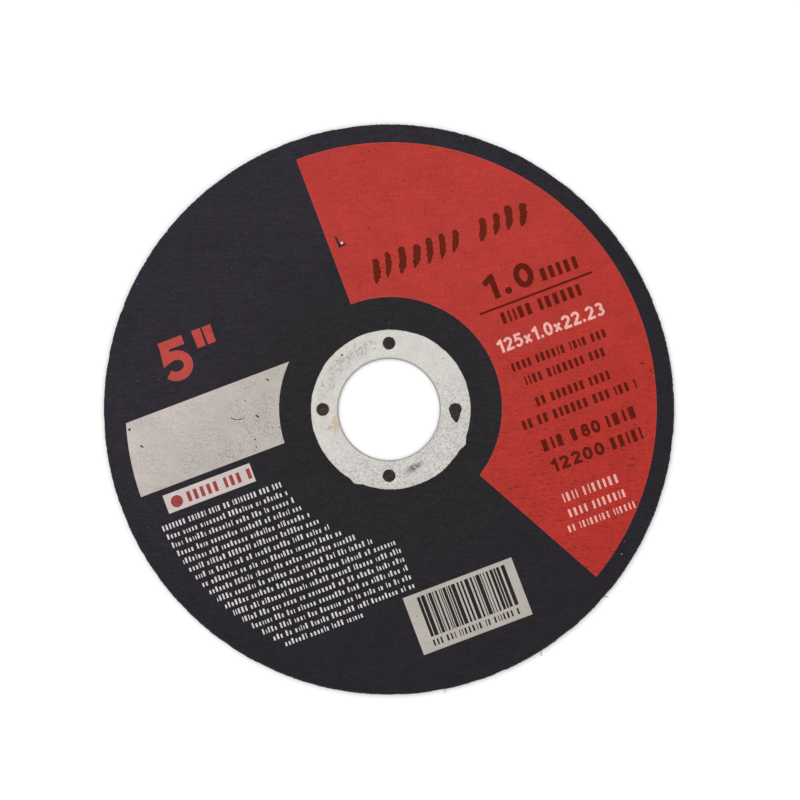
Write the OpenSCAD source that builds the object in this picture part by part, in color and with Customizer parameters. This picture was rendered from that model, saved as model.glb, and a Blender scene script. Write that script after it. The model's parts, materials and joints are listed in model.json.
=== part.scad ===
// Thin cut-off wheel for an angle grinder: a pressed, resin-bonded abrasive disc, with a pressed
// tinplate ring in its bore and a printed paper label on its front face.
// Sizes are in millimetres. The wheel lies on its back face with the label up. Z runs along the
// bore, and the origin is on the bore's axis at the back face.

/* [Abrasive disc] */
// Outer diameter of the wheel
wheel_d = 125; // [100:0.5:230]
// Thickness of the wheel, label included
wheel_t = 1; // [0.9:0.05:3]
// Rounding of the rim's edges
rim_edge_r = 0.15; // [0.05:0.01:0.25]

/* [Bore ring] */
// Diameter of the bore
bore_d = 22.23; // [9.5:0.01:25.4]
// Width of the ring from the bore to the flange's edge
ring_w = 7.6; // [6:0.1:9]
// Thickness of the tinplate
sheet_t = 0.2; // [0.15:0.01:0.25]
// Outside radius of the bend between flange and collar
bend_r = 0.45; // [0.3:0.01:0.55]
// Distance from the collar's end to the back face
collar_setback = 0.05; // [0.02:0.01:0.15]
// Clearance between the ring and the disc round it
ring_gap = 0.04; // [0.02:0.01:0.08]

/* [Keying holes] */
// Number of holes pierced through the flange
hole_count = 4; // [2:1:6]
// Diameter of a pierced hole
hole_d = 2.7; // [1.5:0.1:3.2]
// Wall of the burr under a hole
burr_t = 0.15; // [0.1:0.01:0.25]
// Length of the burr, which keys the ring into the disc
burr_h = 0.3; // [0.1:0.05:0.4]
// Depth of the resin's face below the flange's face
plug_sink = 0.08; // [0.02:0.01:0.12]
// Distance from the torn hole's centre to the end of its tear
tear_l = 2.85; // [2.4:0.05:3.2]
// How much narrower than its hole the tear starts
tear_step = 0.3; // [0.2:0.05:0.8]
// Distance from the torn hole's centre to the tear's shoulders
shoulder_l = 1.5; // [1:0.05:2]
// Width of the tear at its shoulders
shoulder_w = 1.85; // [1:0.05:2.2]
// Width of the tear's blunt end
tear_end_w = 0.4; // [0.2:0.05:0.8]
// How far the tear's end lies outwards of its hole's centre
tear_lean = 0.3; // [0:0.05:0.6]

/* [Paper label] */
// Thickness of the paper
label_t = 0.1; // [0.05:0.01:0.2]
// Distance from the label's edge to the rim
label_inset = 0.45; // [0.2:0.05:3]
// How far the label laps the flange
label_lap = 1.24; // [1.1:0.02:2]
// Clearance between the label's edge and the disc round it
label_gap = 0.03; // [0.01:0.01:0.08]
// Offset of the label's hole to the right of the bore's axis
hole_shift = 0.4; // [0:0.05:0.45]
// Depth of the nicks in the label's hole
nick_h = 0.62; // [0.05:0.01:0.65]
// Length of a nick along the hole
nick_w = 3.4; // [1:0.1:5]

/* [Print] */
// Angle of the print's upright from the wheel's Y axis
print_angle = 20.7; // [-180:0.1:180]
// Offset of the print to the right of the bore's axis
print_x = 0.4; // [-1:0.05:1]
// Offset of the print above the bore's axis
print_y = 0.3; // [-1:0.05:1]
// Distance from the label's edge to the coloured fields
field_margin = 4; // [1:0.1:8]
// Distance from the label's hole to the coloured fields
hole_margin = 7; // [2:0.1:12]
// Height above the print's centre at which the red field's two straight edges would meet
red_apex = 4; // [-8:0.1:8]
// Slope of the red field's lower edge
red_slope = -61.8; // [-85:0.1:-10]
// Lower edge of the pale band
band_v = 1.1; // [-10:0.1:10]
// Height of the pale band
band_h = 16.3; // [4:0.1:20]
// Gap between the pale band and the strip below it
strip_gap = 1.4; // [0.2:0.1:4]
// Distance from the fields' outer arc to the strip
strip_inset = 4.5; // [1:0.1:10]
// Length of the pale strip
strip_l = 20.3; // [5:0.1:25]
// Height of the pale strip
strip_h = 4.2; // [1:0.1:5]
// Distance from the fields' outer arc to the bar panel below the bore
panel_inset = 4.9; // [4:0.1:12]
// Offset of the bar panel to the right of the print's centre
panel_shift = 0.4; // [-5:0.1:5]
// Length of the bar panel
panel_l = 25.4; // [8:0.1:30]
// Height of the bar panel
panel_h = 13.3; // [4:0.1:15]

/* [Hidden] */
$fn = 180;

// Levels above the back face
face_z = wheel_t - label_t;
seat_z = face_z - sheet_t;
bend_z = face_z - bend_r;
plug_z = face_z - plug_sink;
groove_z = seat_z - burr_h - ring_gap;

// Radii about the bore's axis
wheel_r = wheel_d / 2;
label_r = wheel_r - label_inset;
bore_r = bore_d / 2;
flange_r = bore_r + ring_w;
flat_r = bore_r + bend_r;
label_hole_r = flange_r - label_lap;
hole_circle_r = (flat_r + label_hole_r) / 2;
disc_bore_r = bore_r + sheet_t + ring_gap;
disc_edge_r = flat_r - disc_bore_r;
field_outer_r = label_r - field_margin;
field_inner_r = label_hole_r + hole_margin;

// Corners of the strip and the bar panel, in the print's own frame
strip_corner = [strip_inset - field_outer_r, band_v - strip_gap - strip_h];
panel_corner = [panel_shift - panel_l / 2, panel_inset - field_outer_r];

// Directions of the nicks in the label's hole
nick_angles = [244, 335];
// Overrun of a cut past the face that it opens
cut = 0.5;

disc_color = "#35322f";
tin_color = "#d6d5d1";
black_ink = "#2e2b30";
red_ink = "#be3a32";
paper_color = "#c4bcb6";

// Rectangle between two corners
module block(from, to) {
    translate(from)
        square(to - from);
}

// Flat ring between two radii
module annulus(inner_r, outer_r) {
    difference() {
        circle(outer_r);
        circle(inner_r);
    }
}

// Waste outside a rounded corner at the origin, for stock that lies towards +X and +Y
module corner_waste(r) {
    difference() {
        block([-cut, -cut], [r, r]);
        translate([r, r])
            circle(r);
    }
}

// Places its children at each keying hole
module at_holes() {
    for (i = [0 : hole_count - 1])
        rotate(i * 360 / hole_count)
            translate([hole_circle_r, 0])
                children();
}

// Outline of the tear that runs out of the first hole, drawn in by a clearance
module tear_outline(gap = 0) {
    half_start = (hole_d - tear_step) / 2 - gap;
    half_shoulder = shoulder_w / 2 - gap;
    half_end = tear_end_w / 2 - gap;
    translate([hole_circle_r, 0])
        polygon([
            [half_start, 0],
            [-half_start, 0],
            [-half_shoulder, -shoulder_l],
            [tear_lean - half_end, gap - tear_l],
            [tear_lean + half_end, gap - tear_l],
            [half_shoulder, -shoulder_l]
        ]);
}

// Outline of what is open through the flange, drawn in by a clearance
module open_outline(gap = 0) {
    at_holes()
        circle(d = hole_d - 2 * gap);
    tear_outline(gap);
}

// Section of the disc, with seats for the label, the flange and the bend
module disc_section() {
    difference() {
        block([disc_bore_r, 0], [wheel_r, wheel_t]);
        block([0, face_z], [label_r + label_gap, wheel_t + cut]);
        block([0, seat_z], [flange_r + ring_gap, wheel_t + cut]);
        translate([disc_bore_r, seat_z])
            mirror([0, 1])
                corner_waste(disc_edge_r);
        translate([wheel_r, 0])
            mirror([1, 0])
                corner_waste(rim_edge_r);
        translate([wheel_r, wheel_t])
            rotate(180)
                corner_waste(rim_edge_r);
    }
}

// Pressed body, with a groove for each burr and resin that has risen into each hole
module abrasive_disc() {
    color(disc_color) {
        difference() {
            rotate_extrude()
                disc_section();
            translate([0, 0, groove_z])
                linear_extrude(wheel_t)
                    at_holes()
                        circle(d = hole_d + 2 * (burr_t + ring_gap));
        }
        translate([0, 0, groove_z])
            linear_extrude(plug_z - groove_z)
                open_outline(ring_gap);
    }
}

// Section of the ring: flange, bend and collar
module ring_section() {
    block([flat_r, seat_z], [flange_r, face_z]);
    block([bore_r, collar_setback], [bore_r + sheet_t, bend_z]);
    intersection() {
        translate([flat_r, bend_z])
            annulus(bend_r - sheet_t, bend_r);
        block([bore_r - cut, bend_z], [flat_r, face_z + cut]);
    }
}

// Tinplate ring, with burrs drawn down round its holes and one hole torn
module bore_ring() {
    color(tin_color)
        difference() {
            union() {
                rotate_extrude()
                    ring_section();
                translate([0, 0, seat_z - burr_h])
                    linear_extrude(burr_h)
                        at_holes()
                            circle(d = hole_d + 2 * burr_t);
            }
            translate([0, 0, groove_z])
                linear_extrude(wheel_t)
                    open_outline();
        }
}

// The label's hole, a little off the bore's axis and nicked
module label_hole() {
    translate([hole_shift, 0]) {
        circle(label_hole_r);
        for (a = nick_angles)
            rotate(a)
                polygon([
                    [label_hole_r - nick_h, -nick_w],
                    [label_hole_r + nick_h, 0],
                    [label_hole_r - nick_h, nick_w]
                ]);
    }
}

// Outline of the label
module label_outline() {
    difference() {
        circle(label_r);
        label_hole();
    }
}

// Places its children in the print's own frame
module in_print() {
    translate([print_x, print_y])
        rotate(print_angle)
            children();
}

// Red field: part of a flat ring, cut off by an upright edge and a sloping one
module red_field() {
    reach = wheel_d;
    intersection() {
        annulus(field_inner_r, field_outer_r);
        polygon([
            [0, red_apex],
            [0, reach],
            [reach, reach],
            [reach, -reach],
            [reach * cos(red_slope), red_apex + reach * sin(red_slope)]
        ]);
    }
}

// Pale fields: a band with round ends, a strip and a panel for bars
module pale_fields() {
    intersection() {
        annulus(field_inner_r, field_outer_r);
        block([-field_outer_r, band_v], [0, band_v + band_h]);
    }
    translate(strip_corner)
        square([strip_l, strip_h]);
    translate(panel_corner)
        square([panel_l, panel_h]);
}

// The label's thickness of one colour, over the outline that its children draw
module printed(ink) {
    color(ink)
        translate([0, 0, face_z])
            linear_extrude(label_t)
                children();
}

// Printed paper, in black with red and pale fields
module paper_label() {
    printed(black_ink)
        difference() {
            label_outline();
            in_print() {
                red_field();
                pale_fields();
            }
        }
    printed(red_ink)
        in_print()
            red_field();
    printed(paper_color)
        in_print()
            pale_fields();
}

abrasive_disc();
bore_ring();
paper_label();
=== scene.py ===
import json
import math
import random

import bpy
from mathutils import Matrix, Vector, geometry, noise


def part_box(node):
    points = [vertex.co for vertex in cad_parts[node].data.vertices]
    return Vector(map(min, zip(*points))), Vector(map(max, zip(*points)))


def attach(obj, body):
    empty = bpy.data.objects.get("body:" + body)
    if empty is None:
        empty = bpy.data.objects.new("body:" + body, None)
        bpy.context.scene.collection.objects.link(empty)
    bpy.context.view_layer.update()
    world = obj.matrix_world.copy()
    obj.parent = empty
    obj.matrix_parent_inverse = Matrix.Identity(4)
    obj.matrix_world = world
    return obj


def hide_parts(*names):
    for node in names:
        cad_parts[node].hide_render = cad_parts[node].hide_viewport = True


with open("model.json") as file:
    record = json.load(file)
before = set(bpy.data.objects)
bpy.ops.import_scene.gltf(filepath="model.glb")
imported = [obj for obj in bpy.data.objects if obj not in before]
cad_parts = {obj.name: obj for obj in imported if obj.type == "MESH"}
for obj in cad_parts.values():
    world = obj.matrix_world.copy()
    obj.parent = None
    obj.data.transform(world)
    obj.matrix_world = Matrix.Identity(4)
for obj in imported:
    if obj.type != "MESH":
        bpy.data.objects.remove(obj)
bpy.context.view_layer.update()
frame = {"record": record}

# Sizes below are in millimetres, and a mesh is turned into metres as it is made
MM = 0.001

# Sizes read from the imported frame
WHEEL_R = -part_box("abrasive_disc")[0].x / MM
WHEEL_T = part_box("abrasive_disc")[1].z / MM
FLANGE_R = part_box("bore_ring")[1].y / MM
FACE_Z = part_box("bore_ring")[1].z / MM
COLLAR_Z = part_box("bore_ring")[0].z / MM
LABEL_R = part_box("paper_label")[1].y / MM
LABEL_T = WHEEL_T - FACE_Z
BORE_R = next(m["dims"]["r_mm"] for m in frame["record"]["mounts"] if m["name"] == "arbor_bore")

# Sizes that the part's source names, with angles in degrees
RIM_EDGE_R = 0.15
SHEET_T = 0.2
BEND_R = 0.45
RING_GAP = 0.04
HOLE_COUNT = 4
HOLE_D = 2.7
BURR_H = 0.3
PLUG_SINK = 0.08
TEAR_L = 2.85
TEAR_STEP = 0.3
SHOULDER_L = 1.5
SHOULDER_W = 1.85
TEAR_END_W = 0.4
TEAR_LEAN = 0.3
LABEL_LAP = 1.24
LABEL_GAP = 0.03
HOLE_SHIFT = 0.4
NICK_H = 0.62
NICK_W = 3.4
NICK_ANGLES = (244, 335)
PRINT_ANGLE = 20.7
PRINT_X = 0.4
PRINT_Y = 0.3
FIELD_MARGIN = 4.0
HOLE_MARGIN = 7.0
RED_APEX = 4.0
RED_SLOPE = -61.8
BAND_V = 1.1
BAND_H = 16.3
STRIP_GAP = 1.4
STRIP_INSET = 4.5
STRIP_L = 20.3
STRIP_H = 4.2
PANEL_INSET = 4.9
PANEL_SHIFT = 0.4
PANEL_L = 25.4
PANEL_H = 13.3

# Levels above the back face, and radii about the bore's axis
SEAT_Z = FACE_Z - SHEET_T
PLUG_Z = FACE_Z - PLUG_SINK
BURR_Z = SEAT_Z - BURR_H
GROOVE_Z = BURR_Z - RING_GAP
FLAT_R = BORE_R + BEND_R
DISC_BORE_R = BORE_R + SHEET_T + RING_GAP
LABEL_HOLE_R = FLANGE_R - LABEL_LAP
HOLE_CIRCLE_R = (FLAT_R + LABEL_HOLE_R) / 2
FIELD_OUTER_R = LABEL_R - FIELD_MARGIN
FIELD_INNER_R = LABEL_HOLE_R + HOLE_MARGIN

HOLE_R = HOLE_D / 2
GROOVE_W = SHEET_T + RING_GAP


# Flat outlines, as lists of points in millimetres

def polar(radius, turn):
    """The point at a distance from the origin, in a direction in radians."""
    return radius * math.cos(turn), radius * math.sin(turn)


def oval(centre, rx, ry, start, end, steps):
    """Points along part of an ellipse, with its angles in degrees."""
    turns = [math.radians(start + (end - start) * i / steps) for i in range(steps + 1)]
    return [(centre[0] + rx * math.cos(turn), centre[1] + ry * math.sin(turn)) for turn in turns]


def arc(radius, start, end, steps):
    """Points along an arc about the origin, with its angles in degrees."""
    return oval((0, 0), radius, radius, start, end, steps)


def closed_oval(centre, rx, ry, steps):
    return oval(centre, rx, ry, 0, 360, steps)[:-1]


def circle(radius, steps, centre=(0, 0)):
    return closed_oval(centre, radius, radius, steps)


def rect(left, right, low, high):
    return [(left, low), (right, low), (right, high), (left, high)]


def band(points, width):
    """The outline of a stroke of even width along a line of points. A straight one has square ends."""
    left, right = [], []
    last = len(points) - 1
    for i, point in enumerate(points):
        before, after = Vector(points[max(i - 1, 0)]), Vector(points[min(i + 1, last)])
        along = (after - before).normalized() * width / 2
        across = Vector((-along.y, along.x))
        middle = Vector(point)
        if last == 1:
            middle += along if i == last else -along
        left.append(tuple(middle + across))
        right.append(tuple(middle - across))
    return left + right[::-1]


def on_wheel(outline):
    """An outline in the print's frame, moved to the wheel's frame."""
    c, s = polar(1, math.radians(PRINT_ANGLE))
    return [(PRINT_X + u * c - v * s, PRINT_Y + u * s + v * c) for u, v in outline]


def at_height(outline, z):
    return [(x, y, z) for x, y in outline]


def signed_area(outline):
    """The area of an outline, below 0 if it runs clockwise."""
    pairs = zip(outline, outline[1:] + outline[:1])
    return sum(a[0] * b[1] - b[0] * a[1] for a, b in pairs) / 2


def add_points(points, more):
    """Adds points to a list and returns their numbers."""
    start = len(points)
    points.extend(more)
    return list(range(start, len(points)))


# The triangulation leaves out what is in no outline, and joins points that are this close
INSIDE_ONLY = 1
JOIN_WITHIN = 1e-5


def paint(shapes):
    """Triangles of overlapping outlines, where a later shape covers an earlier one.

    Each shape is (ink, outline), and an ink of None is a hole. Returns the points, the triangles,
    the ink of each triangle, and where each shape's own points are in the list of points."""
    corners, faces = [], []
    for _, outline in shapes:
        outline = outline if signed_area(outline) > 0 else outline[::-1]
        faces.append(add_points(corners, [Vector(p) for p in outline]))
    found = geometry.delaunay_2d_cdt(corners, [], faces, INSIDE_ONLY, JOIN_WITHIN, True)
    points, _, pieces, joined, _, covers = found
    triangles, inks = [], []
    for piece, over in zip(pieces, covers):
        ink = shapes[max(over)][0] if over else None
        if ink is not None:
            triangles.append(piece)
            inks.append(ink)
    place = {corner: i for i, group in enumerate(joined) for corner in group}
    return points, triangles, inks, [[place[corner] for corner in face] for face in faces]


# What is printed on the label, in the print's frame, where u runs to the right and v up.
# A place is given as its left end, right end, lower edge and upper edge

RED_BORDER = 0.15


def red_field(grow=0.0):
    """Part of a flat ring, cut off by an upright edge and a sloping one. It may be grown by a border."""
    run, rise = polar(1, math.radians(RED_SLOPE))
    apex = RED_APEX - grow / run
    outer_r, inner_r = FIELD_OUTER_R + grow, FIELD_INNER_R - grow

    def lower_end(radius):
        """Angle at which the sloping edge crosses a circle."""
        along = -apex * rise + math.sqrt(radius ** 2 - (apex * run) ** 2)
        return math.degrees(math.atan2(apex + along * rise, along * run))

    def upper_end(radius):
        return 90 + math.degrees(math.asin(grow / radius))

    outer = arc(outer_r, lower_end(outer_r), upper_end(outer_r), steps=110)
    inner = arc(inner_r, upper_end(inner_r), lower_end(inner_r), steps=70)
    return outer + inner


def pale_band():
    """A band whose two ends follow the label's outside and hole."""
    low, high = BAND_V, BAND_V + BAND_H

    def left_angle(radius, v):
        return 180 - math.degrees(math.asin(v / radius))

    outer = arc(FIELD_OUTER_R, left_angle(FIELD_OUTER_R, high), left_angle(FIELD_OUTER_R, low), steps=24)
    inner = arc(FIELD_INNER_R, left_angle(FIELD_INNER_R, low), left_angle(FIELD_INNER_R, high), steps=24)
    return outer + inner


def pale_strip():
    left, low = STRIP_INSET - FIELD_OUTER_R, BAND_V - STRIP_GAP - STRIP_H
    return rect(left, left + STRIP_L, low, low + STRIP_H)


def bar_panel():
    left, low = PANEL_SHIFT - PANEL_L / 2, PANEL_INSET - FIELD_OUTER_R
    return rect(left, left + PANEL_L, low, low + PANEL_H)


def round_stroke(centre, rx, ry, steps):
    """Two halves of an oval stroke, which lap so that no seam shows."""
    return [oval(centre, rx, ry, 80, 280, steps), oval(centre, rx, ry, -100, 100, steps)]


# Plain figures: the width and the strokes of each, for a height of 1 between the strokes' middles.
# The third item of the 5 is its stem, as an outline
FIGURES = {
    "0": (0.5, round_stroke((0.25, 0.5), 0.25, 0.5, 20)),
    "1": (0.28, [[(0.04, 0.82), (0.26, 0.98)], [(0.28, 0.0), (0.28, 1.0)]]),
    "2": (0.5, [oval((0.25, 0.73), 0.25, 0.27, 170, -40, 16) + [(0.05, 0.04)],
                [(0.04, 0.0), (0.5, 0.0)]]),
    "3": (0.5, [oval((0.24, 0.76), 0.22, 0.24, 150, -90, 16),
                oval((0.24, 0.26), 0.26, 0.26, 90, -150, 16)]),
    "5": (0.5, [[(0.1, 1.0), (0.46, 1.0)], oval((0.23, 0.32), 0.27, 0.32, 120, -148, 20)],
          [(-0.06, 0.39), (0.17, 0.49), (0.2, 1.0), (0.0, 1.0)]),
    "8": (0.5, round_stroke((0.25, 0.77), 0.2, 0.23, 14) + round_stroke((0.25, 0.27), 0.25, 0.27, 14)),
    "x": (0.42, [[(0.04, 0.06), (0.38, 0.56)], [(0.04, 0.56), (0.38, 0.06)]]),
    ".": (0.06, []),
}
# Space between figures over their height, and a point's radius over a stroke's width
FIGURE_SPACE = 0.1
POINT_R = 0.6


def figures(text, left, right, low, high, weight):
    """A row of plain figures that fills a place. The weight is a stroke's width over the height."""
    stroke = weight * (high - low)
    height = high - low - stroke
    widths = [FIGURES[c][0] * height for c in text]
    spaces = (len(text) - 1) * (FIGURE_SPACE * height + stroke)
    stretch = (right - left - stroke) / (sum(widths) + spaces)

    def placed(line, u):
        return [(u + x * height * stretch, low + stroke / 2 + y * height) for x, y in line]

    outlines = []
    u = left + stroke / 2
    for c, width in zip(text, widths):
        if c == ".":
            radius = POINT_R * stroke
            outlines.append(circle(radius, steps=16, centre=(u + width * stretch / 2, low + radius)))
        outlines += [band(placed(line, u), stroke) for line in FIGURES[c][1]]
        outlines += [placed(stem, u) for stem in FIGURES[c][2:]]
        u += (width + FIGURE_SPACE * height + stroke) * stretch
    return outlines


# Width of an inch mark over that of the pair, and how much narrower its foot is at each side
INCH_MARK_W = 0.46
INCH_MARK_TAPER = 0.06


def inch_marks(left, right, low, high):
    """Two short, broad strokes that narrow downwards."""
    width = INCH_MARK_W * (right - left)
    narrow = INCH_MARK_TAPER * width
    marks = []
    for u in (left, right - width):
        marks.append([(u, high), (u + narrow, low), (u + width - narrow, low), (u + width, high)])
    return marks


# Rows of blocks: fewest and most in a group, and sizes over the height of a row
GROUP_BLOCKS = (2, 8)
BLOCK_ROOMS = (0.24, 0.42, 0.46, 0.5, 0.5)
BLOCK_GAP = 0.2
GROUP_GAP = 0.6
LOW_BLOCK_H = 0.7
TALL_SHARE = 0.35


def block_row(left, right, low, high, rng, weight, all_tall=False):
    """Small upright blocks in groups along a row. The weight is the inked share of a block's room."""
    height = high - low
    gap, group_gap = BLOCK_GAP * height, GROUP_GAP * height
    blocks = []
    u = 0.0
    while u < right - left:
        for _ in range(rng.randint(*GROUP_BLOCKS)):
            room = height * rng.choice(BLOCK_ROOMS)
            tall = all_tall or rng.random() < TALL_SHARE
            blocks.append((u, u + weight * room, high if tall else low + LOW_BLOCK_H * height))
            u += room + gap
            if u >= right - left:
                break
        u += group_gap - gap
    fit = (right - left) / blocks[-1][1]
    return [rect(left + start * fit, left + end * fit, low, top) for start, end, top in blocks]


# Brush strokes: points along a stroke, its bow, and ranges of its thickness and of its ragged edges
BRUSH_STEPS = 22
BRUSH_BOW = 0.3
BRUSH_T = (1.4, 1.8)
BRUSH_RAGGED = (0.75, 1.1)
# Ranges of the place of a stroke's foot and of its lean over the pitch, and of the height of its ends
BRUSH_FOOT = (0.09, 0.21)
BRUSH_LEAN = (0.5, 0.7)
BRUSH_TOP = (-0.5, 0.3)
BRUSH_BOTTOM = (-0.2, 0.5)


def brush_stroke(start, end, thickness, rng):
    """A brushed stroke with a blunt start and a dry, tapering end."""
    along = Vector(end) - Vector(start)
    across = Vector((-along.y, along.x)).normalized()
    left, right = [], []
    for i in range(BRUSH_STEPS + 1):
        t = i / BRUSH_STEPS
        taper = min(1.0, 0.5 + 5 * t) * min(1.0, 0.25 + 2.6 * (1 - t))
        middle = Vector(start) + along * t + across * BRUSH_BOW * math.sin(math.pi * t)
        half = thickness / 2 * taper
        left.append(tuple(middle + across * half * rng.uniform(*BRUSH_RAGGED)))
        right.append(tuple(middle - across * half * rng.uniform(*BRUSH_RAGGED)))
    return right + left[::-1]


def brush_row(left, right, low, high, count, rng):
    """A row of leaning brush strokes."""
    pitch = (right - left) / count
    strokes = []
    for i in range(count):
        foot = left + pitch * (i + rng.uniform(*BRUSH_FOOT))
        head = foot + pitch * rng.uniform(*BRUSH_LEAN)
        top, bottom = high + rng.uniform(*BRUSH_TOP), low + rng.uniform(*BRUSH_BOTTOM)
        strokes.append(brush_stroke((head, top), (foot, bottom), rng.uniform(*BRUSH_T), rng))
    return strokes


# Bars: the narrowest width, and the widths of bars and gaps as multiples of it
BAR_W = 0.22
BAR_WIDTHS = (1, 1, 2, 2, 3, 4)
BAR_GAPS = (1, 1, 1, 2, 2)


def upright_bars(left, right, low, high, rng):
    """Upright bars of a few widths, in no code."""
    bars = []
    u = left
    while u < right:
        width = BAR_W * rng.choice(BAR_WIDTHS)
        bars.append(rect(u, u + width, low, high))
        u += width + BAR_W * rng.choice(BAR_GAPS)
    return bars


# Rows of small white blocks at the lower left, between an outer and an inner arc
SMALL_ROWS = 17
SMALL_TOP = -7.1
SMALL_PITCH = 2.06
SMALL_HEIGHT = 1.2
SMALL_WEIGHT = 0.68
SMALL_OUTER_R = 56.5
SMALL_INNER_R = 29.3
SMALL_RIGHT = -9.0
LAST_ROW_RIGHT = -21.8


def small_rows():
    """The place of each row of small blocks. The last row is short."""
    rows = []
    for i in range(SMALL_ROWS):
        v = SMALL_TOP - SMALL_PITCH * i
        left = -math.sqrt(SMALL_OUTER_R ** 2 - v * v)
        right = -math.sqrt(max(SMALL_INNER_R ** 2 - v * v, SMALL_RIGHT ** 2))
        if i == SMALL_ROWS - 1:
            right = LAST_ROW_RIGHT
        rows.append((left, right, v - SMALL_HEIGHT / 2, v + SMALL_HEIGHT / 2))
    return rows


# Rows of larger blocks on the red field: ink and place, with a weight for each ink, and a rule between
RED_ROWS = (
    ("dark", 41.0, 49.4, 14.2, 17.0),
    ("dark", 29.6, 48.0, 8.4, 11.0),
    ("dark", 27.9, 49.7, -2.1, -0.2),
    ("dark", 29.6, 48.0, -5.9, -3.9),
    ("dark", 30.2, 47.3, -11.0, -9.0),
    ("dark", 25.6, 52.1, -14.9, -12.8),
    ("dark", 28.1, 36.0, -20.9, -18.2),
    ("dark", 43.1, 49.6, -20.9, -18.2),
    ("dark", 42.3, 49.5, -25.8, -23.1),
    ("blush", 28.3, 40.9, -32.8, -30.8),
    ("blush", 28.3, 41.3, -36.3, -34.5),
    ("blush", 27.0, 42.5, -39.3, -37.8),
)
RED_ROW_WEIGHTS = {"dark": 0.8, "blush": 0.6}
RED_RULE = (25.5, 51.7, 12.05, 12.55)

# Rows of figures: ink, figures, place and weight
FIGURE_ROWS = (
    ("coral", "5", -43.8, -36.9, 21.9, 31.2, 0.22),
    ("dark", "1.0", 28.2, 39.6, 14.2, 19.7, 0.24),
    ("dark", "80", 37.1, 41.5, -21.0, -18.1, 0.24),
    ("dark", "12200", 28.3, 40.6, -25.9, -23.0, 0.24),
    ("blush", "125x1.0x22.23", 26.5, 51.3, 2.6, 5.6, 0.2),
)
INCH_MARKS = (-35.0, -30.5, 27.2, 31.2)

# Rows of brush strokes on the red field: place and number of strokes
BRUSH_ROWS = (
    (6.1, 27.7, 26.7, 32.0, 7),
    (31.1, 43.7, 27.0, 32.3, 4),
)

# A dot and a row on the pale strip
STRIP_DOT = (-51.0, -2.5)
STRIP_DOT_R = 1.35
STRIP_ROW = (-48.5, -33.7, -3.6, -1.3)
STRIP_ROW_WEIGHT = 0.75

# Bars on the panel, with a row below them
BARS = (-9.4, 10.2, -50.0, -40.8)
BAR_ROW = (-9.4, 10.6, -52.1, -50.7)
BAR_ROW_WEIGHT = 0.65

SEED = 11


def print_shapes():
    """Every printed shape in painting order: the fields, and then the marks on them."""
    rng = random.Random(SEED)
    shapes = [
        ("rose", red_field(grow=RED_BORDER)),
        ("red", red_field()),
        ("pale", pale_band()),
        ("strip", pale_strip()),
        ("panel", bar_panel()),
    ]

    def add(ink, outlines):
        shapes.extend((ink, outline) for outline in outlines)

    add("sign", [circle(STRIP_DOT_R, steps=24, centre=STRIP_DOT)])
    add("sign", block_row(*STRIP_ROW, rng, STRIP_ROW_WEIGHT, all_tall=True))
    for row in BRUSH_ROWS:
        add("brush", brush_row(*row, rng))
    add("black", upright_bars(*BARS, rng))
    add("black", block_row(*BAR_ROW, rng, BAR_ROW_WEIGHT, all_tall=True))
    for ink, *place in RED_ROWS:
        add(ink, block_row(*place, rng, RED_ROW_WEIGHTS[ink], all_tall=True))
    for i, place in enumerate(small_rows()):
        add("white", block_row(*place, rng, SMALL_WEIGHT, all_tall=i == 0))

    for ink, *row in FIGURE_ROWS:
        add(ink, figures(*row))
    add("coral", inch_marks(*INCH_MARKS))
    add("dark", [rect(*RED_RULE)])
    return shapes


# Marks of wear on the label, with painted glints and a painted highlight, in the wheel's frame

TORN_BIT = ((-11.95, 37.75), (-11.55, 37.85), (-10.6, 36.0), (-9.5, 36.45), (-9.45, 36.05), (-10.9, 35.35))
TORN_FLECK = ((-10.6, 36.6), (-10.15, 36.75), (-10.05, 36.3), (-10.5, 36.15))

# Dark chips and pale painted glints near the rim: what shows, centre, half length and half height
CHIPS_AND_GLINTS = (
    # Painted glints, pale where grains catch the light
    ("pale", (50.94, -31.63), 0.2, 0.08),
    ("pale", (51.55, -28.85), 0.07, 0.07),
    ("dark", (55.4, 10.1), 0.36, 0.2),
    ("dark", (57.25, 8.55), 0.22, 0.22),
)

# Spots on the pale band: centre, half height and slope. One that slopes is longer
SPOTS = (
    (-56.8, -4.4, 0.3, 0.0),
    (-54.1, -8.1, 0.2, -0.5),
    (-26.6, 6.5, 0.2, -0.4),
    (-28.8, -1.5, 0.22, -0.5),
    (-29.3, -6.5, 0.18, 0.0),
    (-29.0, -8.2, 0.16, 0.0),
)
SPOT_STEPS = 9

# A scratch along an arc, broad from its start to its bend, thin from there on, and lit along one side
SCRATCH_CENTRE = (-33.2, -0.2)
SCRATCH_R = 2.1
SCRATCH_START = 228
SCRATCH_BEND = 300
SCRATCH_END = 335
SCRATCH_W = 0.2
SCRATCH_TAIL_W = 0.08
SCRATCH_LIT_W = 0.14
SCRATCH_LIT_SHIFT = (0.1, -0.16)


def scratch_shapes():
    broad = oval(SCRATCH_CENTRE, SCRATCH_R, SCRATCH_R, SCRATCH_START, SCRATCH_BEND, steps=12)
    tail = oval(SCRATCH_CENTRE, SCRATCH_R, SCRATCH_R, SCRATCH_BEND, SCRATCH_END, steps=6)
    right, up = SCRATCH_LIT_SHIFT
    lit = [(x + right, y + up) for x, y in broad]
    return [
        ("white", band(lit, SCRATCH_LIT_W)),
        ("black", band(broad, SCRATCH_W)),
        ("black", band(tail, SCRATCH_TAIL_W)),
    ]


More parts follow.
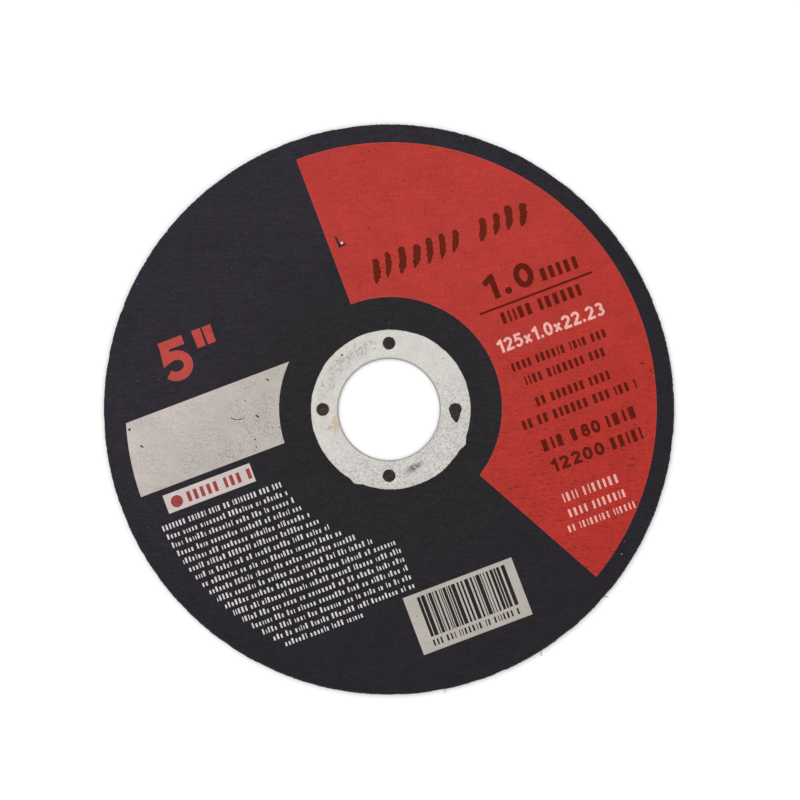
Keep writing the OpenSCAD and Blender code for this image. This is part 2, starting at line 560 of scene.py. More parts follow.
def wear_shapes():
    """A small tear in the red, chips and painted glints near the rim, and a scratch and spots on the pale
    band.
    """
    shapes = [("black", TORN_BIT), ("white", TORN_FLECK)]
    for ink, centre, half_long, half_high in CHIPS_AND_GLINTS:
        shapes.append((ink, closed_oval(centre, half_long, half_high, SPOT_STEPS)))
    shapes += scratch_shapes()
    for x, y, half_high, slope in SPOTS:
        half_long = half_high * (1 + 2 * abs(slope))
        level = closed_oval((0, 0), half_long, half_high, SPOT_STEPS)
        shapes.append(("black", [(x + a, y + b + slope * a) for a, b in level]))
    return shapes


def uneven(x, y, pitch, layer, z=0.0):
    """Smooth noise from about -1 to 1, with pitch features in a millimetre. Each layer differs."""
    return noise.noise(Vector((x * pitch, y * pitch, z * pitch + layer)))


# Wavers of the edge of the label's hole: depth, and features in the hole's radius
LABEL_WAVERS = ((0.14, 3), (0.07, 13), (0.06, 37))


def label_hole():
    """The label's hole, off the bore's axis, with a wavering edge and two nicks."""
    outline = []
    for degree in range(360):
        x, y = polar(1, math.radians(degree))
        radius = LABEL_HOLE_R
        for depth, pitch in LABEL_WAVERS:
            radius += depth * uneven(x, y, pitch, layer=pitch)
        for nick in NICK_ANGLES:
            across = math.radians(abs((degree - nick + 180) % 360 - 180)) * LABEL_HOLE_R
            radius = max(radius, LABEL_HOLE_R + NICK_H * (1 - 2 * across / NICK_W))
        outline.append((HOLE_SHIFT + radius * x, radius * y))
    return outline


# Materials, all from nodes

def linear(r, g, b):
    """A colour given as 0 to 255 sRGB, in linear values."""
    def one(c):
        c /= 255
        return c / 12.92 if c <= 0.04045 else ((c + 0.055) / 1.055) ** 2.4
    return one(r), one(g), one(b), 1.0


class Nodes:
    """A material's node tree, with short ways to add and join nodes."""

    def __init__(self, name):
        self.material = bpy.data.materials.new(name)
        self.material.use_nodes = True
        self.tree = self.material.node_tree
        self.shader = self.tree.nodes["Principled BSDF"]
        coordinates = self.tree.nodes.new("ShaderNodeTexCoord")
        self.mm = self.vector("SCALE", coordinates.outputs["Object"], scale=1 / MM)
        self.flat = self.vector("MULTIPLY", self.mm, (1, 1, 0))

    def join(self, source, socket):
        """Links a socket, or sets a plain value."""
        if isinstance(source, bpy.types.NodeSocket):
            self.tree.links.new(source, socket)
        else:
            socket.default_value = source

    def vector(self, operation, a, b=None, scale=None):
        node = self.tree.nodes.new("ShaderNodeVectorMath")
        node.operation = operation
        self.join(a, node.inputs[0])
        if b is not None:
            self.join(b, node.inputs[1])
        if scale is not None:
            node.inputs["Scale"].default_value = scale
        return node.outputs["Value" if operation in ("LENGTH", "DOT_PRODUCT") else "Vector"]

    def along(self, direction):
        """Millimetres along a direction."""
        return self.vector("DOT_PRODUCT", self.mm, direction)

    def from_axis(self):
        """Millimetres from the bore's axis."""
        return self.vector("LENGTH", self.flat)

    def number(self, operation, a, b):
        node = self.tree.nodes.new("ShaderNodeMath")
        node.operation = operation
        self.join(a, node.inputs[0])
        self.join(b, node.inputs[1])
        return node.outputs[0]

    def times(self, *factors):
        product = factors[0]
        for factor in factors[1:]:
            product = self.number("MULTIPLY", product, factor)
        return product

    def ramp(self, value, low, high, to_low=0.0, to_high=1.0):
        """Maps low..high to to_low..to_high with a smooth step, and holds the ends."""
        node = self.tree.nodes.new("ShaderNodeMapRange")
        node.interpolation_type = "SMOOTHSTEP"
        self.join(value, node.inputs["Value"])
        node.inputs["From Min"].default_value = low
        node.inputs["From Max"].default_value = high
        node.inputs["To Min"].default_value = to_low
        node.inputs["To Max"].default_value = to_high
        return node.outputs["Result"]

    def noise(self, scale, detail=3.0, roughness=0.5, stretch=(1, 1, 1), turn=0.0, distortion=0.0):
        """Noise with scale features in a millimetre, stretched and turned about Z by radians."""
        mapping = self.tree.nodes.new("ShaderNodeMapping")
        mapping.inputs["Scale"].default_value = stretch
        mapping.inputs["Rotation"].default_value = (0, 0, turn)
        self.join(self.mm, mapping.inputs["Vector"])
        node = self.tree.nodes.new("ShaderNodeTexNoise")
        node.inputs["Scale"].default_value = scale
        node.inputs["Detail"].default_value = detail
        node.inputs["Roughness"].default_value = roughness
        node.inputs["Distortion"].default_value = distortion
        self.join(mapping.outputs["Vector"], node.inputs["Vector"])
        return node.outputs["Fac"]

    def specks(self, spacing, radius, share):
        """Round specks on a share of the cells of a scattered pattern."""
        node = self.tree.nodes.new("ShaderNodeTexVoronoi")
        node.inputs["Scale"].default_value = 1 / spacing
        self.join(self.mm, node.inputs["Vector"])
        spot = self.ramp(node.outputs["Distance"], radius / spacing, 0.5 * radius / spacing)
        parts = self.tree.nodes.new("ShaderNodeSeparateColor")
        self.join(node.outputs["Color"], parts.inputs["Color"])
        return self.times(spot, self.number("LESS_THAN", parts.outputs["Red"], share))

    def patch(self, x, y, half_long, half_wide, turn=0.0, core=0.3):
        """1 within the core of an oval on the wheel's face, turned by radians, falling to 0 at its edge."""
        mapping = self.tree.nodes.new("ShaderNodeMapping")
        mapping.vector_type = "TEXTURE"
        mapping.inputs["Location"].default_value = (x, y, 0)
        mapping.inputs["Rotation"].default_value = (0, 0, turn)
        mapping.inputs["Scale"].default_value = (half_long, half_wide, 1)
        self.join(self.flat, mapping.inputs["Vector"])
        return self.ramp(self.vector("LENGTH", mapping.outputs["Vector"]), core, 1.0, 1.0, 0.0)

    def mix(self, share, a, b, blend="MIX"):
        node = self.tree.nodes.new("ShaderNodeMix")
        node.data_type = "RGBA"
        node.blend_type = blend
        self.join(share, node.inputs["Factor"])
        self.join(a, node.inputs["A"])
        self.join(b, node.inputs["B"])
        return node.outputs["Result"]

    def bump(self, layers):
        """Bump from (height, depth in millimetres) layers, each on top of the last."""
        normal = None
        for height, depth in layers:
            node = self.tree.nodes.new("ShaderNodeBump")
            node.inputs["Distance"].default_value = depth * MM
            self.join(height, node.inputs["Height"])
            if normal is not None:
                self.join(normal, node.inputs["Normal"])
            normal = node.outputs["Normal"]
        self.join(normal, self.shader.inputs["Normal"])

    def surface(self, **values):
        """Sets or links the shader's sockets, with _ for a space in a name."""
        for name, value in values.items():
            self.join(value, self.shader.inputs[name.replace("_", " ")])


# Directions on the wheel's face in which an ink's tone shifts, as painted light and shade that is lighter to
# the upper left, and in which the cloth shows through more
SHADE_AND_PIT_SHIFT = (0.75, -0.66, 0)
CLOTH_SHIFT = (0.15, -1, 0)
# Radius at which an ink's tone round the ring has faded out
HUB_R = 46.0
DUST = linear(84, 86, 88)


def ink_material(name, lit_upper_left, shaded_lower_right, speck, shift=(-45, 45), pit_shift=None, grain_depth=0.18,
                 pits=0.12, cloth_depth=1.0, specks=0.05, dust=0.0, specular=0.15, hub=None):
    """Printed paper: a tone that shifts across the wheel, with grain, pits and ridges of the cloth below.

    The tone's shift is painted light and shade, lighter at the upper left and darker at the lower right. It
    shifts between two distances along SHADE_AND_PIT_SHIFT, and so does the share of pits."""
    nodes = Nodes(name)
    across = nodes.along(SHADE_AND_PIT_SHIFT)
    # Painted light and shade: the tone is lighter towards the upper left and darker towards the lower right
    tone = nodes.mix(nodes.ramp(across, *shift), lit_upper_left, shaded_lower_right)
    if hub:
        tone = nodes.mix(nodes.ramp(nodes.from_axis(), FLANGE_R, HUB_R), hub, tone)

    mottle = nodes.noise(scale=0.15, detail=5, roughness=0.65)
    grain = nodes.noise(scale=3.4, detail=2, roughness=0.6)
    fibres = nodes.noise(scale=1.6, detail=2, stretch=(0.22, 1.4, 1), turn=0.05, distortion=0.4)
    fibre_depth = grain_depth / 3
    shade = nodes.times(nodes.ramp(mottle, 0.3, 0.7, 0.95, 1.05),
                        nodes.ramp(grain, 0.25, 0.75, 1 - grain_depth, 1 + grain_depth),
                        nodes.ramp(fibres, 0.25, 0.75, 1 - fibre_depth, 1 + fibre_depth))
    tone = nodes.mix(1.0, tone, shade, "MULTIPLY")

    ridges = nodes.noise(scale=1.0, detail=3, roughness=0.55, stretch=(0.5, 2.1, 1), turn=0.08,
                         distortion=0.7)
    cloth = nodes.ramp(nodes.along(CLOTH_SHIFT), -12, 18, 0.12 * cloth_depth, cloth_depth)
    furrows = nodes.times(nodes.ramp(ridges, 0.45, 0.3), cloth, 0.6)
    tone = nodes.mix(furrows, tone, speck)

    pores = nodes.noise(scale=1.9, detail=4, roughness=0.75, stretch=(0.8, 1.2, 1))
    pored_areas = nodes.noise(scale=0.22, detail=2)
    pitted = nodes.times(nodes.ramp(pores, 0.47, 0.36), nodes.ramp(pored_areas, 0.4, 0.62, 0.2, 1.0))
    pit_share = nodes.ramp(across, *(pit_shift or shift), 0.15 * pits, pits)
    tone = nodes.mix(nodes.times(pitted, pit_share), tone, speck)
    tone = nodes.mix(nodes.specks(spacing=1.5, radius=0.2, share=specks), tone, speck)
    tone = nodes.mix(nodes.specks(spacing=2.3, radius=0.16, share=dust), tone, DUST)

    roughness = nodes.ramp(grain, 0.3, 0.7, 0.56, 0.68)
    nodes.surface(Base_Color=tone, Roughness=roughness, Specular_IOR_Level=specular)
    nodes.bump([(nodes.times(ridges, cloth), 0.08), (nodes.times(pitted, -1.0), 0.03), (grain, 0.02)])
    return nodes.material


def make_inks():
    """A material for each ink and bare field, with its lit upper left, shaded lower right and speck colours.
    The first two paint light and shade across the wheel.
    """
    return {
        "black": ink_material("ink_black", linear(33, 28, 37), linear(26, 23, 29), linear(8, 8, 8),
                              shift=(-45, 20), grain_depth=0.55, dust=0.1, hub=linear(27, 25, 27)),
        "red": ink_material("ink_red", linear(165, 47, 40), linear(163, 40, 32), linear(86, 14, 11),
                            shift=(-20, 55), specks=0.25),
        "coral": ink_material("ink_coral", linear(168, 62, 55), linear(168, 60, 53), linear(120, 36, 30)),
        "sign": ink_material("ink_sign_red", linear(141, 58, 56), linear(141, 58, 56), linear(104, 36, 34)),
        "rose": ink_material("ink_border", linear(166, 60, 54), linear(166, 50, 42), linear(100, 30, 26)),
        "pale": ink_material("bare_paper", linear(182, 174, 168), linear(170, 164, 157), linear(92, 88, 82),
                             shift=(-40, -20), pit_shift=(-31, -19), grain_depth=0.09, pits=0.62,
                             cloth_depth=0.35),
        "strip": ink_material("strip_paper", linear(188, 177, 173), linear(188, 177, 173),
                              linear(142, 128, 122), grain_depth=0.06, pits=0.2, cloth_depth=0.1),
        "panel": ink_material("panel_paper", linear(170, 164, 155), linear(167, 161, 152),
                              linear(110, 104, 96), grain_depth=0.06, pits=0.08, cloth_depth=0.1),
        "dark": ink_material("ink_dark", linear(84, 24, 11), linear(88, 22, 8), linear(50, 8, 4),
                             specular=0.05),
        "brush": ink_material("ink_brown", linear(90, 28, 12), linear(90, 28, 12), linear(50, 14, 8),
                              specular=0.05),
        "white": ink_material("ink_white", linear(200, 197, 195), linear(196, 193, 191),
                              linear(134, 130, 128)),
        "blush": ink_material("ink_pink_white", linear(213, 167, 160), linear(213, 160, 152),
                              linear(160, 104, 98)),
    }


# Relief of the glass cloth on the back: pitch and half width of the strands, and depth between them
WEAVE_PITCH = 3.2
WEAVE_HALF = 1.0
WEAVE_DEPTH = 0.09
# Radii between which the strands start and stop to show
STRANDS_START = (BORE_R + 1.5, BORE_R + 2.5)
STRANDS_STOP = (WHEEL_R - 1.2, WHEEL_R - 2.0)

# Rust on the resin in the keying hole at the left, and the levels between which it starts, off the back
RUST = {"x": 0.25 - HOLE_CIRCLE_R, "y": -0.35, "half_long": 1.3, "half_wide": 1.2, "core": 0.45}
RUST_Z = (0.4, 0.6)


def resin_material():
    """Pressed abrasive: dark resin, cloth strands on the back, bright grains and rust in one keying hole."""
    nodes = Nodes("resin_abrasive")
    height = nodes.along((0, 0, 1))
    lumps = nodes.noise(scale=0.9, detail=4)
    tone = nodes.mix(nodes.ramp(lumps, 0.3, 0.7), linear(27, 25, 25), linear(43, 40, 38))

    on_strand = nodes.ramp(height, 0.6 * WEAVE_DEPTH, 0.1 * WEAVE_DEPTH)
    from_axis = nodes.from_axis()
    past_bore = nodes.ramp(from_axis, *STRANDS_START)
    short_of_rim = nodes.ramp(from_axis, *STRANDS_STOP)
    bare = nodes.ramp(lumps, 0.3, 0.6, 0.2, 0.7)
    strands = nodes.times(on_strand, past_bore, short_of_rim, bare)
    tone = nodes.mix(strands, tone, linear(92, 86, 74))

    grains = nodes.specks(spacing=0.45, radius=0.16, share=0.3)
    tone = nodes.mix(nodes.times(grains, 0.6), tone, linear(90, 83, 76))

    flaky = nodes.ramp(nodes.noise(scale=1.6, detail=4), 0.35, 0.6, 0.35, 1.0)
    rust = nodes.times(nodes.patch(**RUST), nodes.ramp(height, *RUST_Z), flaky)
    tone = nodes.mix(rust, tone, linear(70, 44, 33))

    nodes.surface(Base_Color=tone, Roughness=nodes.ramp(grains, 0, 1, 0.8, 0.45), Specular_IOR_Level=0.25)
    nodes.bump([(nodes.noise(scale=2.5, detail=4), 0.08), (grains, 0.05)])
    return nodes.material


# Faint marks on the ring, which are broken up: place, share and colour
STAIN = {"x": -11.6, "y": -3.2, "half_long": 3.4, "half_wide": 1.5, "turn": 1.35}
RUB = {"x": -13.1, "y": -4.0, "half_long": 1.0, "half_wide": 0.6, "turn": 0.3}
RUST_HALO = {"x": 0.3 - HOLE_CIRCLE_R, "y": -0.2, "half_long": 2.3, "half_wide": 2.1, "core": 0.55}
FAINT_MARKS = (
    (STAIN, 0.55, linear(176, 148, 104)),
    (RUB, 0.5, linear(120, 118, 114)),
    (RUST_HALO, 0.4, linear(172, 154, 128)),
)
# Dark marks on the ring
SMUDGE = {"x": 5.4, "y": -12.8, "half_long": 2.9, "half_wide": 1.0, "turn": 0.56}
DARK_DOT = {"x": -10.33, "y": 11.93, "half_long": 0.3, "half_wide": 0.26, "core": 0.7}
# Directions in degrees in which the ring is scuffed, and the size of a scuffed place
SCUFF_ANGLES = (115, 137, 160)
SCUFF_SIZE = {"half_long": 4.4, "half_wide": 2.2, "core": 0.5}
# Direction on the ring's face in which it is grittier
GRIT_SHIFT = (0.55, -0.83, 0)


def scuffed_places(nodes):
    """1 where the ring's flange is scuffed."""
    scuffed = 0.0
    for angle in SCUFF_ANGLES:
        turn = math.radians(angle)
        x, y = polar(HOLE_CIRCLE_R, turn)
        scuffed = nodes.number("MAXIMUM", scuffed, nodes.patch(x, y, turn=turn - math.pi / 2, **SCUFF_SIZE))
    return scuffed


def tin_material():
    """Dull tinplate: fine grey grains, pits, painted shade on the bend, stains, scuffs and a smudge."""
    nodes = Nodes("tinplate")
    cloud = nodes.noise(scale=0.35, detail=4)
    tone = nodes.mix(nodes.ramp(cloud, 0.35, 0.65), linear(197, 194, 189), linear(191, 187, 182))

    grit = nodes.noise(scale=2.6, detail=4, roughness=0.65)
    gritty = nodes.ramp(nodes.along(GRIT_SHIFT), -4, 10, 0.3, 1.0)
    tone = nodes.mix(nodes.times(nodes.ramp(grit, 0.56, 0.36), gritty, 0.6), tone, linear(128, 124, 122))
    tone = nodes.mix(nodes.specks(spacing=1.7, radius=0.17, share=0.35), tone, linear(74, 70, 64))
    # Painted shade: darker towards the collar, where the rolled bend turns away from the light
    bend = nodes.ramp(nodes.from_axis(), BORE_R + 0.05, FLAT_R, 0.55, 0.0)
    tone = nodes.mix(bend, tone, linear(96, 102, 98))

    broken = nodes.ramp(nodes.noise(scale=1.4, detail=4), 0.35, 0.6)
    for place, share, colour in FAINT_MARKS:
        tone = nodes.mix(nodes.times(nodes.patch(**place), broken, share), tone, colour)

    scuffed = scuffed_places(nodes)
    scuffs = nodes.noise(scale=1.3, detail=4, stretch=(1, 0.6, 1), distortion=2.0)
    tone = nodes.mix(nodes.times(scuffed, broken, 0.16), tone, linear(156, 150, 142))
    tone = nodes.mix(nodes.times(nodes.ramp(scuffs, 0.5, 0.4), scuffed, 0.52), tone, linear(116, 110, 102))

    smudge = nodes.times(nodes.patch(**SMUDGE), nodes.ramp(grit, 0.62, 0.4, 0.35, 0.9))
    tone = nodes.mix(smudge, tone, linear(62, 58, 54))
    tone = nodes.mix(nodes.patch(**DARK_DOT), tone, linear(20, 19, 19))

    nodes.surface(Base_Color=tone, Metallic=0.4, Roughness=nodes.ramp(grit, 0.3, 0.7, 0.6, 0.45))
    nodes.bump([(grit, 0.02)])
    return nodes.material


def fibre_material():
    """Straw-coloured glass strands."""
    nodes = Nodes("glass_fibre")
    tone = nodes.mix(nodes.noise(scale=2.0), linear(196, 164, 108), linear(160, 126, 74))
    nodes.surface(Base_Color=tone, Roughness=0.5, Specular_IOR_Level=0.4)
    return nodes.material


def floor_material():
    """Pale matt floor."""
    nodes = Nodes("floor")
    tone = nodes.mix(nodes.noise(scale=0.02, detail=2), (0.88, 0.88, 0.88, 1), (0.9, 0.9, 0.9, 1))
    nodes.surface(Base_Color=tone, Roughness=0.9, Specular_IOR_Level=0.1)
    return nodes.material


# Meshes

SHARP_ANGLE = math.radians(35)


def new_piece(name, points, faces, materials, material_of_face=None, thickness=0.0):
    """A mesh object from points in millimetres. A sheet is given its thickness behind its faces."""
    mesh = bpy.data.meshes.new(name)
    mesh.from_pydata([(x * MM, y * MM, z * MM) for x, y, z in points], [], faces)
    for material in materials:
        mesh.materials.append(material)
    if material_of_face:
        mesh.polygons.foreach_set("material_index", material_of_face)
    piece = bpy.data.objects.new(name, mesh)
    bpy.context.scene.collection.objects.link(piece)
    if thickness:
        sheet = piece.modifiers.new("thickness", "SOLIDIFY")
        sheet.thickness = thickness * MM
        sheet.offset = -1
        whole = piece.evaluated_get(bpy.context.evaluated_depsgraph_get())
        piece.data = bpy.data.meshes.new_from_object(whole)
        piece.modifiers.clear()
    piece.data.shade_smooth()
    piece.data.set_sharp_from_angle(angle=SHARP_ANGLE)
    piece.modifiers.new("even_normals", "WEIGHTED_NORMAL").keep_sharp = True
    return piece


def bridge(lower, upper):
    """Faces between two closed loops of point numbers, where one may have twice as many as the other."""
    n, m = len(lower), len(upper)
    faces = []
    for i in range(min(n, m)):
        if n == m:
            j = (i + 1) % n
            faces.append((lower[i], lower[j], upper[j], upper[i]))
        elif m == 2 * n:
            a, b = lower[i], lower[(i + 1) % n]
            c, d, e = upper[2 * i], upper[2 * i + 1], upper[(2 * i + 2) % m]
            faces += [(a, d, c), (a, b, d), (b, e, d)]
        else:
            a, b = upper[i], upper[(i + 1) % m]
            c, d, e = lower[2 * i], lower[2 * i + 1], lower[(2 * i + 2) % n]
            faces += [(a, c, d), (a, d, b), (b, d, e)]
    return faces


LABEL_STEPS = 720


def build_label(inks):
    """The printed sheet, black all over under its fields and marks."""
    names = list(inks)
    shapes = [("black", circle(LABEL_R, LABEL_STEPS))]
    shapes += [(name, on_wheel(outline)) for name, outline in print_shapes()]
    shapes += wear_shapes()
    shapes.append((None, label_hole()))
    flat, triangles, found, _ = paint(shapes)
    points = at_height(flat, WHEEL_T)
    ink_numbers = [names.index(name) for name in found]
    return new_piece("printed_label", points, triangles, inks.values(), ink_numbers, thickness=LABEL_T)


# Keying holes: points round a hole, and how much its edge and its tear waver
HOLE_STEPS = 60
HOLE_WAVER = 0.07
TEAR_WAVER = 0.05


def tear_radius(turn):
    """Distance from the torn hole's centre to the edge of its tear, which runs towards -Y."""
    half_start = HOLE_R - TEAR_STEP / 2
    corners = [
        (-half_start, 0),
        (-SHOULDER_W / 2, -SHOULDER_L),
        (TEAR_LEAN - TEAR_END_W / 2, -TEAR_L),
        (TEAR_LEAN + TEAR_END_W / 2, -TEAR_L),
        (SHOULDER_W / 2, -SHOULDER_L),
        (half_start, 0),
    ]
    far = polar(WHEEL_R, turn)
    for a, b in zip(corners, corners[1:]):
        hit = geometry.intersect_line_line_2d((0, 0), far, a, b)
        if hit:
            return hit.length
    return 0.0


def hole_outline(index, grow):
    """Points round a keying hole, moved out by grow. The first hole is torn."""
    cx, cy = polar(HOLE_CIRCLE_R, 2 * math.pi * index / HOLE_COUNT)
    outline = []
    for i in range(HOLE_STEPS):
        turn = 2 * math.pi * i / HOLE_STEPS
        waver = uneven(*polar(1, turn), pitch=2, layer=7 * index + 1)
        radius = HOLE_R * (1 + HOLE_WAVER * waver)
        if index == 0:
            radius = max(radius, tear_radius(turn) * (1 + TEAR_WAVER * waver))
        x, y = polar(radius + grow, turn)
        outline.append((cx + x, cy + y))
    return outline


def flange_shapes(ink, outer_r, hole_grow, steps):
    """A flat ring out to a radius, with an opening inside the bend and the keying holes, moved out."""
    shapes = [(ink, circle(outer_r, steps)), (None, circle(FLAT_R, steps))]
    shapes += [(None, hole_outline(i, hole_grow)) for i in range(HOLE_COUNT)]
    return shapes


# Points round the body's loops, and rows of points across its back and up its rim
BACK_STEPS = 720
RIM_STEPS = 1440
BACK_ROWS = 78
RIM_ROWS = 6

# Where the back's relief ends, widths over which it fades there, and the height of its grit
BACK_R = WHEEL_R - 2 * RIM_EDGE_R
BORE_FADE = 1.5
RIM_FADE = 0.8
BACK_GRIT = 0.02

# Depth of the grains and lumps that are missing from the rim, and the most that they take together.
# A higher share takes more grains, and the rim's faces lose part of what its wall loses
RIM_GRAIN = 0.16
RIM_GRAIN_SHARE = 0.25
RIM_LUMP = 0.3
RIM_SINK = 0.42
RIM_FACE_SINK = 0.4

# Angles in degrees along the body's rounded edge under the ring's bend
BORE_EDGE_ANGLES = (120, 150, 180)

# The body's edge at the label: its seat, a broken edge beside it, and a row inside it with fewer points
LABEL_SEAT_R = LABEL_R + LABEL_GAP
LABEL_EDGE_W = 0.1
LABEL_EDGE_H = 0.02
LABEL_ROW_IN = 0.6


def weave_relief(x, y):
    """Height of the back above the floor: 0 on top of a strand, and WEAVE_DEPTH between strands."""
    def strand(across, along):
        nearest = round(across / WEAVE_PITCH)
        off = (across - nearest * WEAVE_PITCH) / WEAVE_HALF
        wave = 0.75 + 0.25 * math.cos(math.pi * (along / WEAVE_PITCH + nearest))
        return max(0.0, 1 - off * off) * wave
    return WEAVE_DEPTH * (1 - max(strand(x, y), strand(y, x + WEAVE_PITCH)))


def back_loop(radius):
    """Points round the back, which is flat at the bore and at the rim."""
    fade = max(0.0, min(1.0, (radius - DISC_BORE_R) / BORE_FADE, (BACK_R - radius) / RIM_FADE))
    loop = []
    for x, y in circle(radius, BACK_STEPS):
        grit = BACK_GRIT * abs(uneven(x, y, pitch=1.7, layer=5))
        loop.append((x, y, fade * (weave_relief(x, y) + grit)))
    return loop


def rim_loop(z, direction):
    """Points round the rim where it faces in a direction in degrees, 0 for straight out, sunk by grains."""
    corner_r = WHEEL_R - RIM_EDGE_R
    out, up = polar(1, math.radians(direction))
    loop = []
    for x, y in circle(corner_r, RIM_STEPS):
        grain = max(0.0, uneven(x, y, pitch=2.6, layer=9, z=z) + RIM_GRAIN_SHARE)
        lump = max(0.0, uneven(x, y, pitch=0.35, layer=2))
        sink = min(RIM_SINK, RIM_GRAIN * grain + RIM_LUMP * lump)
        reach = 1 + (RIM_EDGE_R - sink) * out / corner_r
        level = z + (RIM_EDGE_R - RIM_FACE_SINK * sink) * up
        loop.append((x * reach, y * reach, min(WHEEL_T, max(0.0, level))))
    return loop


def rim_section():
    """The rim's outline from the back to the front: corner's level, and direction in which the rim faces."""
    wall_h = WHEEL_T - 2 * RIM_EDGE_R
    lower = [(RIM_EDGE_R, direction) for direction in (-90, -60, -30)]
    wall = [(RIM_EDGE_R + wall_h * i / RIM_ROWS, 0) for i in range(RIM_ROWS + 1)]
    upper = [(WHEEL_T - RIM_EDGE_R, direction) for direction in (30, 60, 90)]
    return lower + wall + upper


def build_disc(material):
    """The pressed body: woven relief on the back, a grainy rim, and seats for the ring and the label."""
    flange_seat_r = FLANGE_R + RING_GAP
    seat = flange_shapes("resin", flange_seat_r, GROOVE_W, BACK_STEPS)
    flat, faces, _, (seat_outside, seat_inside, *groove_tops) = paint(seat)
    points = at_height(flat, SEAT_Z)
    loops = [seat_inside]

    def add_loop(loop):
        loops.append(add_points(points, loop))

    edge_r = FLAT_R - DISC_BORE_R
    for angle in BORE_EDGE_ANGLES:
        out, up = polar(edge_r, math.radians(angle))
        add_loop(at_height(circle(FLAT_R + out, BACK_STEPS), SEAT_Z - edge_r + up))
    for i in range(BACK_ROWS + 1):
        add_loop(back_loop(DISC_BORE_R + (BACK_R - DISC_BORE_R) * i / BACK_ROWS))
    for level, direction in rim_section():
        add_loop(rim_loop(level, direction))
    add_loop(at_height(circle(LABEL_SEAT_R + LABEL_EDGE_W, RIM_STEPS), WHEEL_T))
    add_loop(at_height(circle(LABEL_SEAT_R, RIM_STEPS), WHEEL_T - LABEL_EDGE_H))
    add_loop(at_height(circle(LABEL_SEAT_R, RIM_STEPS), FACE_Z))
    add_loop(at_height(circle(LABEL_SEAT_R - LABEL_ROW_IN, BACK_STEPS), FACE_Z))
    add_loop(at_height(circle(flange_seat_r, BACK_STEPS), FACE_Z))
    loops.append(seat_outside)

    for before, after in zip(loops, loops[1:]):
        faces += bridge(before, after)
    for index, groove_top in enumerate(groove_tops):
        add_plug(points, faces, index, groove_top)
    return new_piece("wheel_body", points, faces, [material])


# Resin in a keying hole: its gap to the hole, its broken edge, where the loops of its face are inwards
# of the hole, and the height of the lumps on that face
PLUG_GAP = 0.02
PLUG_EDGE_H = 0.04
PLUG_LOOPS = (0.1, 0.5, 0.9)
PLUG_LUMP = 0.06


def add_plug(points, faces, index, groove_top):
    """The groove round a keying hole's burr, and the resin that has risen into the hole."""
    groove = [(GROOVE_W, GROOVE_Z), (-PLUG_GAP, GROOVE_Z)]
    plug = [(-PLUG_GAP, PLUG_Z - PLUG_EDGE_H)] + [(-inwards, PLUG_Z) for inwards in PLUG_LOOPS]
    before = groove_top
    for grow, z in groove + plug:
        lump_h = PLUG_LUMP if z == PLUG_Z else 0.0
        outline = hole_outline(index, grow)
        loop = [(x, y, z + lump_h * uneven(x, y, pitch=2.2, layer=4)) for x, y in outline]
        after = add_points(points, loop)
        faces += bridge(before, after)
        before = after
    faces.append(tuple(before))


# Points round the ring, angles in degrees along its bend and along the lip of a hole, and the lip's
# radius, which is a little more than the sheet's thickness so that the sheet's back doesn't fold
RING_STEPS = 240
BEND_ANGLES = (15, 30, 45, 60, 75, 90)
LIP_ANGLES = (22, 45, 68, 90)
LIP_R = SHEET_T + 0.02


def build_ring(material):
    """The tinplate ring: a flange with drawn holes, rolled over into the collar."""
    flange = flange_shapes("tin", FLANGE_R, LIP_R, RING_STEPS)
    flat, faces, _, (_, bend_top, *hole_tops) = paint(flange)
    points = at_height(flat, FACE_Z)

    def step_down(above, outline, z):
        """Adds a loop and the faces from the loop above it."""
        below = add_points(points, at_height(outline, z))
        faces.extend(bridge(above, below))
        return below

    loop = bend_top
    for angle in BEND_ANGLES:
        up, inwards = polar(BEND_R, math.radians(angle))
        loop = step_down(loop, circle(FLAT_R - inwards, RING_STEPS), FACE_Z - BEND_R + up)
    step_down(loop, circle(BORE_R, RING_STEPS), COLLAR_Z)

    for index, loop in enumerate(hole_tops):
        for angle in LIP_ANGLES:
            up, inwards = polar(LIP_R, math.radians(angle))
            loop = step_down(loop, hole_outline(index, LIP_R - inwards), FACE_Z - LIP_R + up)
        step_down(loop, hole_outline(index, 0), BURR_Z)
    return new_piece("tin_ring", points, faces, [material], thickness=SHEET_T)


# Frayed strands at the rim: angle in degrees, length, lean from straight out in radians, and height
FRAYS = (
    (-41.3, 1.5, 0.5, 0.3),
    (-57.8, 1.6, -0.35, 0.35),
    (-78.7, 1.4, -0.2, 0.3),
)
# A strand's radius at its root, the root's depth in the rim, the end's bend and rise, and mesh counts
FRAY_R = 0.12
FRAY_ROOT = 0.5
FRAY_BEND = 0.15
FRAY_RISE = 0.1
FRAY_SIDES = 6
FRAY_SPANS = 5


def build_frays(material):
    """Short ends of glass strands that stick out of the rim and taper to half their thickness."""
    points, faces = [], []
    up = Vector((0, 0, 1))
    for angle, length, lean, z in FRAYS:
        out = math.radians(angle)
        root = Vector((*polar(WHEEL_R - FRAY_ROOT, out), z))
        along = Vector((*polar(1, out + lean), 0))
        across = Vector((-along.y, along.x, 0))
        loops = []
        for i in range(FRAY_SPANS + 1):
            t = i / FRAY_SPANS
            middle = root + along * length * t + across * FRAY_BEND * t * t + up * FRAY_RISE * t
            section = circle(FRAY_R * (1 - t / 2), FRAY_SIDES)
            loops.append(add_points(points, [middle + across * a + up * b for a, b in section]))
        for lower, upper in zip(loops, loops[1:]):
            faces += bridge(lower, upper)
        faces.append(tuple(reversed(loops[0])))
        faces.append(tuple(loops[-1]))
    return new_piece("frayed_strands", points, faces, [material])


# Floor, light and camera

FLOOR_HALF = 40000
FLOOR_DROP = 0.02


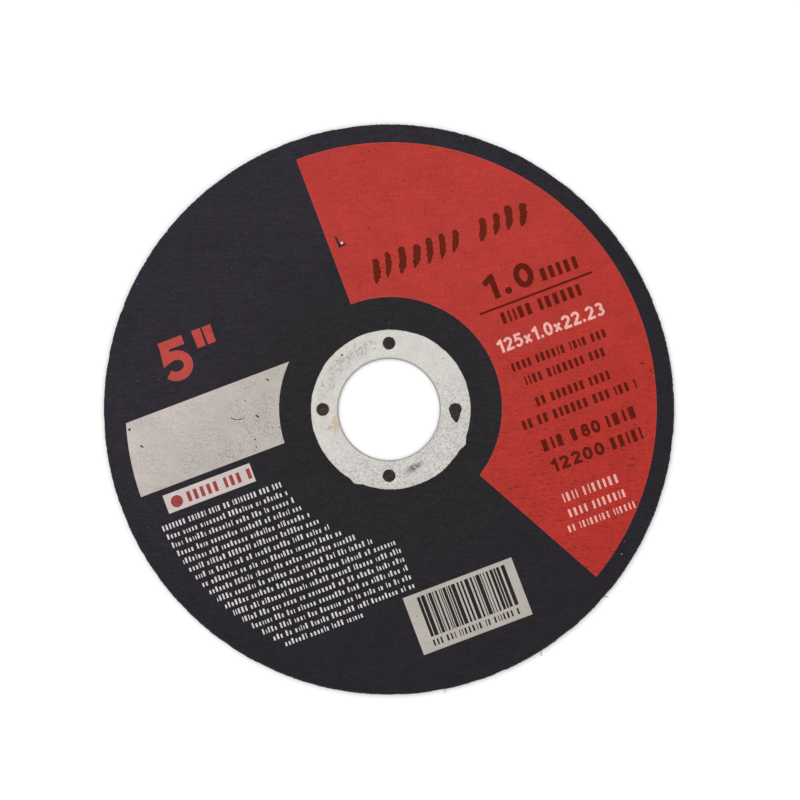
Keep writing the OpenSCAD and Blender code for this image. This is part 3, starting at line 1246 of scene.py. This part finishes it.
def build_floor(material):
    """A floor that reaches out of sight, just below the wheel."""
    corners = at_height(rect(-FLOOR_HALF, FLOOR_HALF, -FLOOR_HALF, FLOOR_HALF), 0)
    floor = new_piece("floor", corners, [(0, 1, 2, 3)], [material])
    floor.location.z = -FLOOR_DROP * MM


# Soft lights: name, place and size in metres, and power in watts
LIGHTS = (
    ("key", (-0.45, 0.5, 1.1), 1.2, 7),
    ("fill", (0.7, -0.5, 0.9), 1.0, 2),
)
WORLD_COLOR = (1, 1, 1, 1)
WORLD_STRENGTH = 0.85


def soft_light(name, place, size, power):
    """A large square light that looks at the wheel."""
    data = bpy.data.lights.new(name, "AREA")
    data.size = size
    data.energy = power
    light = bpy.data.objects.new(name, data)
    light.location = place
    light.rotation_euler = (-Vector(place)).to_track_quat("-Z", "Y").to_euler()
    bpy.context.scene.collection.objects.link(light)


def build_light():
    """A white studio with soft lights."""
    world = bpy.data.worlds.new("studio")
    world.use_nodes = True
    background = world.node_tree.nodes["Background"]
    background.inputs["Color"].default_value = WORLD_COLOR
    background.inputs["Strength"].default_value = WORLD_STRENGTH
    bpy.context.scene.world = world
    for light in LIGHTS:
        soft_light(*light)
    bpy.context.scene.view_settings.view_transform = "Standard"


# The photo's frame: pixels across, the wheel's radius and its centre from the frame's centre
FRAME_PX = 800
WHEEL_R_PX = 285.5
CENTRE_RIGHT_PX = -11.0
CENTRE_UP_PX = -9.5
# Focal length
LENS = 70


def build_camera():
    """Straight down on the wheel's face, with the wheel where the photo has it."""
    data = bpy.data.cameras.new("camera")
    data.lens = LENS
    px = WHEEL_R * MM / WHEEL_R_PX
    distance = FRAME_PX * px * LENS / data.sensor_width
    camera = bpy.data.objects.new("camera", data)
    camera.location = (-CENTRE_RIGHT_PX * px, -CENTRE_UP_PX * px, WHEEL_T * MM + distance)
    bpy.context.scene.collection.objects.link(camera)
    bpy.context.scene.camera = camera


build_camera()
build_light()
build_floor(floor_material())

label = build_label(make_inks())
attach(label, "root")
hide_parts("paper_label")

disc = build_disc(resin_material())
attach(disc, "root")
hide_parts("abrasive_disc")

ring = build_ring(tin_material())
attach(ring, "root")
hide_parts("bore_ring")

frays = build_frays(fibre_material())
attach(frays, "root")
